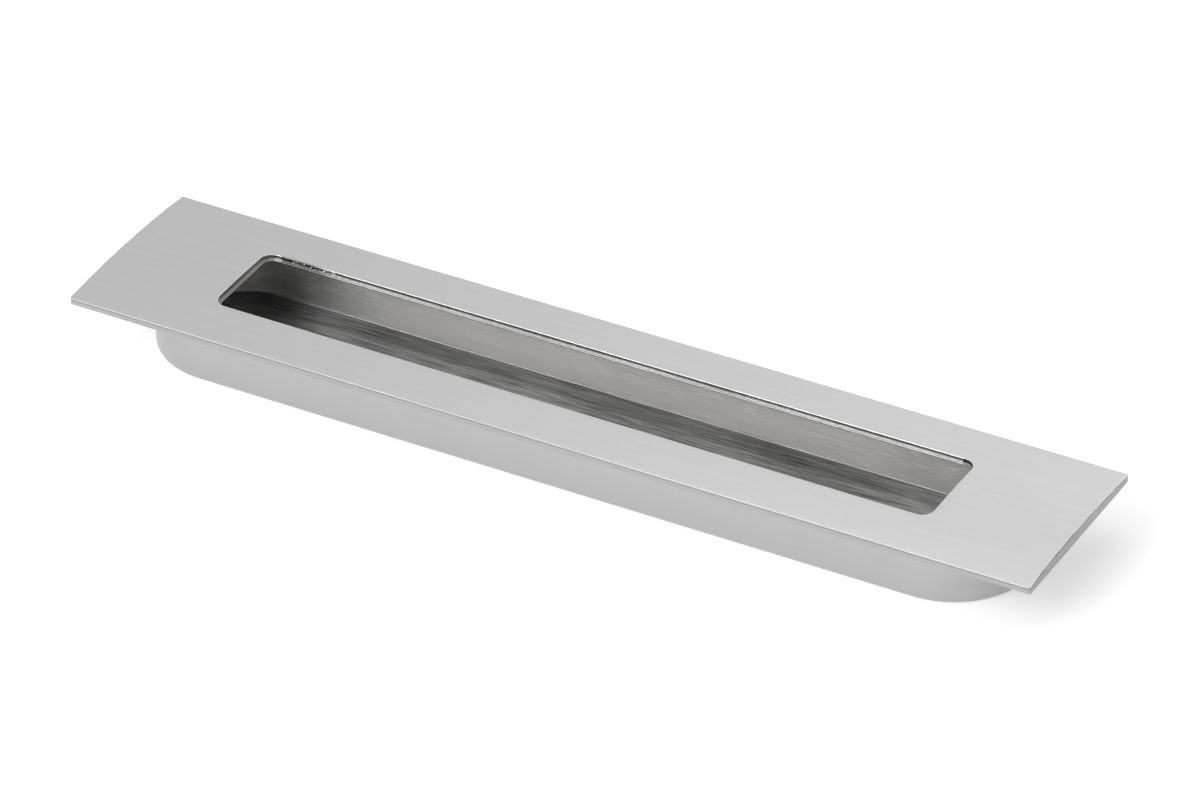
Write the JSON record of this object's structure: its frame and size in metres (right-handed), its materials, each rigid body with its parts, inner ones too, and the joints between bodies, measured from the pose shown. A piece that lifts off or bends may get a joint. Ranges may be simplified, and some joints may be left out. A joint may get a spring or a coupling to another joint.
{
  "type": "recessed flush pull handle",
  "caption": "Flush pull for a sliding door or drawer: an arched rectangular faceplate with a long finger opening over a sunk cup with round ends.",
  "frame": {"origin": "centre of the cup's flat underside, the lowest point of the handle", "axes": "+X along the handle, +Y across it, +Z out of the panel, towards the user"},
  "size_m": [0.2, 0.04, 0.0137],
  "materials": {
    "brushed_plate": "satin nickel look, brushed along the length",
    "satin_cup": "smooth satin nickel look, with a floor brushed along the length"
  },
  "bodies": {
    "root": {"faceplate": "brushed_plate", "cup": "satin_cup"}
  },
  "joints": []
}
